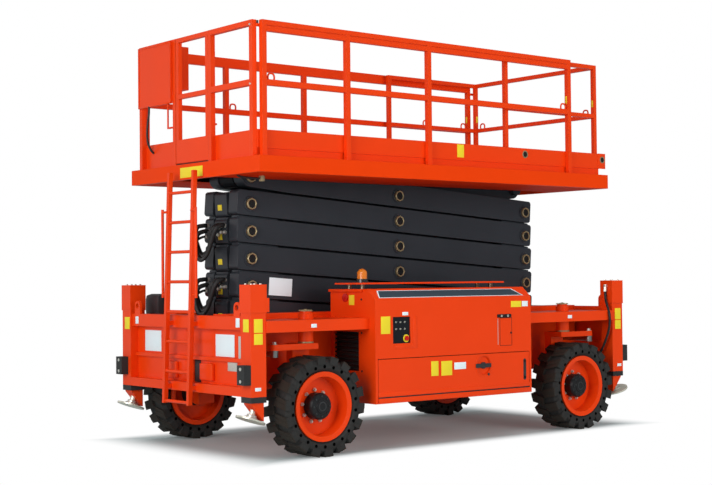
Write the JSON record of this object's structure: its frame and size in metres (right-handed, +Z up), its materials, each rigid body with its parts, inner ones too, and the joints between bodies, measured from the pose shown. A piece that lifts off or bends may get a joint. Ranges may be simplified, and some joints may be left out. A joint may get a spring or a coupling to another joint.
{
  "type": "rough-terrain scissor lift",
  "caption": "Stowed rough-terrain scissor lift: wheeled chassis with steering and outrigger legs, folded arm stack, railed platform with gate and sliding extension deck.",
  "frame": {"origin": "on the ground under the middle of the machine", "axes": "+X along the machine towards the extension deck end, +Y to the far side, +Z up"},
  "size_m": [4.6999, 2.248, 3.62],
  "materials": {
    "orange_paint": "gloss",
    "arm_paint": "satin",
    "dark_paint": "satin",
    "tyre": "matte",
    "black_rubber": "matte",
    "black_plastic": "matte",
    "zinc": "brushed",
    "amber": "gloss"
  },
  "bodies": {
    "chassis": {"main_frame": "orange_paint", "end_frames": "orange_paint", "outrigger_posts": "orange_paint", "leg_collars": "black_rubber", "bumpers": "black_rubber", "kingpin_beams": "orange_paint", "hood_near": "orange_paint", "hood_far": "orange_paint", "canopies": "orange_paint", "beacon": "amber", "ground_control": "black_plastic", "engine_block": "dark_paint", "oil_tank": "dark_paint", "ladder": "orange_paint", "steering_barrels": "dark_paint"},
    "knuckle_ladder_near": {"knuckle_ladder_near": "orange_paint"},
    "wheel_ladder_near": {"rim_ladder_near": "orange_paint", "tyre_ladder_near": "tyre"},
    "leg_ladder_near": {"leg_ladder_near": "orange_paint"},
    "knuckle_ladder_far": {"knuckle_ladder_far": "orange_paint"},
    "wheel_ladder_far": {"rim_ladder_far": "orange_paint", "tyre_ladder_far": "tyre"},
    "leg_ladder_far": {"leg_ladder_far": "orange_paint"},
    "knuckle_deck_near": {"knuckle_deck_near": "orange_paint"},
    "wheel_deck_near": {"rim_deck_near": "orange_paint", "tyre_deck_near": "tyre"},
    "leg_deck_near": {"leg_deck_near": "orange_paint"},
    "knuckle_deck_far": {"knuckle_deck_far": "orange_paint"},
    "wheel_deck_far": {"rim_deck_far": "orange_paint", "tyre_deck_far": "tyre"},
    "leg_deck_far": {"leg_deck_far": "orange_paint"},
    "hood_door_near": {"hood_door_near": "orange_paint"},
    "hood_door_far": {"hood_door_far": "orange_paint"},
    "tie_rod_ladder": {"tie_rod_ladder_end": "zinc"},
    "tie_rod_deck": {"tie_rod_deck_end": "zinc"},
    "inner_1": {"inner_arm_1": "arm_paint"},
    "outer_1": {"outer_arm_1": "arm_paint"},
    "inner_2": {"inner_arm_2": "arm_paint"},
    "outer_2": {"outer_arm_2": "arm_paint"},
    "inner_3": {"inner_arm_3": "arm_paint"},
    "outer_3": {"outer_arm_3": "arm_paint"},
    "inner_4": {"inner_arm_4": "arm_paint"},
    "outer_4": {"outer_arm_4": "arm_paint"},
    "inner_5": {"inner_arm_5": "arm_paint"},
    "outer_5": {"outer_arm_5": "arm_paint"},
    "inner_6": {"inner_arm_6": "arm_paint"},
    "outer_6": {"outer_arm_6": "arm_paint"},
    "platform": {"deck": "orange_paint", "toe_boards": "orange_paint", "side_rail_near": "orange_paint", "side_rail_far": "orange_paint", "end_rail": "orange_paint", "deck_control": "orange_paint"},
    "gate": {"gate": "orange_paint"},
    "extension": {"extension_deck": "orange_paint", "extension_rails": "orange_paint"}
  },
  "joints": [
    {"name": "lift", "type": "hinge", "parent": "chassis", "child": "inner_1", "pos_m": [-1.72931, 0, 0.947], "axis": [0, -1, 0], "range_deg": [0, 62]},
    {"name": "level_1_middle_pin", "type": "hinge", "parent": "inner_1", "child": "outer_1", "pos_m": [-0.028, 0, 1.0665], "axis": [0, -1, 0], "range_deg": [-124, 0]},
    {"name": "level_2_end_pin", "type": "hinge", "parent": "outer_1", "child": "inner_2", "pos_m": [-1.72931, 0, 1.186], "axis": [0, -1, 0], "range_deg": [0, 124]},
    {"name": "level_2_middle_pin", "type": "hinge", "parent": "inner_2", "child": "outer_2", "pos_m": [-0.028, 0, 1.3055], "axis": [0, -1, 0], "range_deg": [-124, 0]},
    {"name": "level_3_end_pin", "type": "hinge", "parent": "outer_2", "child": "inner_3", "pos_m": [-1.72931, 0, 1.425], "axis": [0, -1, 0], "range_deg": [0, 124]},
    {"name": "level_3_middle_pin", "type": "hinge", "parent": "inner_3", "child": "outer_3", "pos_m": [-0.028, 0, 1.5445], "axis": [0, -1, 0], "range_deg": [-124, 0]},
    {"name": "level_4_end_pin", "type": "hinge", "parent": "outer_3", "child": "inner_4", "pos_m": [-1.72931, 0, 1.664], "axis": [0, -1, 0], "range_deg": [0, 124]},
    {"name": "level_4_middle_pin", "type": "hinge", "parent": "inner_4", "child": "outer_4", "pos_m": [-0.028, 0, 1.7835], "axis": [0, -1, 0], "range_deg": [-124, 0]},
    {"name": "level_5_end_pin", "type": "hinge", "parent": "outer_4", "child": "inner_5", "pos_m": [-1.72931, 0, 1.903], "axis": [0, -1, 0], "range_deg": [0, 124]},
    {"name": "level_5_middle_pin", "type": "hinge", "parent": "inner_5", "child": "outer_5", "pos_m": [-0.028, 0, 2.0225], "axis": [0, -1, 0], "range_deg": [-124, 0]},
    {"name": "level_6_end_pin", "type": "hinge", "parent": "outer_5", "child": "inner_6", "pos_m": [-1.72931, 0, 2.142], "axis": [0, -1, 0], "range_deg": [0, 124]},
    {"name": "level_6_middle_pin", "type": "hinge", "parent": "inner_6", "child": "outer_6", "pos_m": [-0.028, 0, 2.2615], "axis": [0, -1, 0], "range_deg": [-124, 0]},
    {"name": "platform_pin", "type": "hinge", "parent": "outer_6", "child": "platform", "pos_m": [-1.72931, 0, 2.381], "axis": [0, -1, 0], "range_deg": [0, 62]},
    {"name": "extension_slide", "type": "slide", "parent": "platform", "child": "extension", "axis": [1, 0, 0], "range_m": [0, 1.3]},
    {"name": "gate_hinge", "type": "hinge", "parent": "platform", "child": "gate", "pos_m": [-2.08981, -0.237, 3.095], "axis": [0, 0, -1], "range_deg": [0, 90]},
    {"name": "steer_ladder_near", "type": "hinge", "parent": "chassis", "child": "knuckle_ladder_near", "pos_m": [-1.583, -0.85, 0.42], "axis": [0, 0, 1], "range_deg": [-30, 30]},
    {"name": "steer_ladder_far", "type": "hinge", "parent": "chassis", "child": "knuckle_ladder_far", "pos_m": [-1.583, 0.85, 0.42], "axis": [0, 0, 1], "range_deg": [-30, 30]},
    {"name": "tie_rod_ladder_slide", "type": "slide", "parent": "chassis", "child": "tie_rod_ladder", "axis": [0, 1, 0], "range_m": [-0.184, 0.184]},
    {"name": "steer_deck_near", "type": "hinge", "parent": "chassis", "child": "knuckle_deck_near", "pos_m": [1.583, -0.85, 0.42], "axis": [0, 0, 1], "range_deg": [-30, 30]},
    {"name": "steer_deck_far", "type": "hinge", "parent": "chassis", "child": "knuckle_deck_far", "pos_m": [1.583, 0.85, 0.42], "axis": [0, 0, 1], "range_deg": [-30, 30]},
    {"name": "tie_rod_deck_slide", "type": "slide", "parent": "chassis", "child": "tie_rod_deck", "axis": [0, 1, 0], "range_m": [-0.184, 0.184]},
    {"name": "wheel_ladder_near_spin", "type": "hinge", "parent": "knuckle_ladder_near", "child": "wheel_ladder_near", "pos_m": [-1.583, -0.965, 0.42], "axis": [0, 1, 0], "continuous": true},
    {"name": "leg_ladder_near_slide", "type": "slide", "parent": "chassis", "child": "leg_ladder_near", "axis": [0, 0, -1], "range_m": [0, 0.45]},
    {"name": "wheel_ladder_far_spin", "type": "hinge", "parent": "knuckle_ladder_far", "child": "wheel_ladder_far", "pos_m": [-1.583, 0.965, 0.42], "axis": [0, 1, 0], "continuous": true},
    {"name": "leg_ladder_far_slide", "type": "slide", "parent": "chassis", "child": "leg_ladder_far", "axis": [0, 0, -1], "range_m": [0, 0.45]},
    {"name": "wheel_deck_near_spin", "type": "hinge", "parent": "knuckle_deck_near", "child": "wheel_deck_near", "pos_m": [1.583, -0.965, 0.42], "axis": [0, 1, 0], "continuous": true},
    {"name": "leg_deck_near_slide", "type": "slide", "parent": "chassis", "child": "leg_deck_near", "axis": [0, 0, -1], "range_m": [0, 0.45]},
    {"name": "wheel_deck_far_spin", "type": "hinge", "parent": "knuckle_deck_far", "child": "wheel_deck_far", "pos_m": [1.583, 0.965, 0.42], "axis": [0, 1, 0], "continuous": true},
    {"name": "leg_deck_far_slide", "type": "slide", "parent": "chassis", "child": "leg_deck_far", "axis": [0, 0, -1], "range_m": [0, 0.45]},
    {"name": "hood_door_near_hinge", "type": "hinge", "parent": "chassis", "child": "hood_door_near", "pos_m": [-0.09, -1.112, 0.413], "axis": [1, 0, 0], "range_deg": [0, 90]},
    {"name": "hood_door_far_hinge", "type": "hinge", "parent": "chassis", "child": "hood_door_far", "pos_m": [-0.09, 1.112, 0.413], "axis": [-1, 0, 0], "range_deg": [0, 90]}
  ],
  "couplings": [
    {"joint": "level_1_middle_pin", "follows": "lift", "ratio": -2},
    {"joint": "level_2_end_pin", "follows": "lift", "ratio": 2},
    {"joint": "level_2_middle_pin", "follows": "lift", "ratio": -2},
    {"joint": "level_3_end_pin", "follows": "lift", "ratio": 2},
    {"joint": "level_3_middle_pin", "follows": "lift", "ratio": -2},
    {"joint": "level_4_end_pin", "follows": "lift", "ratio": 2},
    {"joint": "level_4_middle_pin", "follows": "lift", "ratio": -2},
    {"joint": "level_5_end_pin", "follows": "lift", "ratio": 2},
    {"joint": "level_5_middle_pin", "follows": "lift", "ratio": -2},
    {"joint": "level_6_end_pin", "follows": "lift", "ratio": 2},
    {"joint": "level_6_middle_pin", "follows": "lift", "ratio": -2},
    {"joint": "platform_pin", "follows": "lift", "ratio": 1},
    {"joint": "steer_ladder_far", "follows": "steer_ladder_near", "ratio": 1},
    {"joint": "tie_rod_ladder_slide", "follows": "steer_ladder_near", "m_per_rad": -0.35},
    {"joint": "steer_deck_far", "follows": "steer_deck_near", "ratio": 1},
    {"joint": "tie_rod_deck_slide", "follows": "steer_deck_near", "m_per_rad": 0.35}
  ]
}
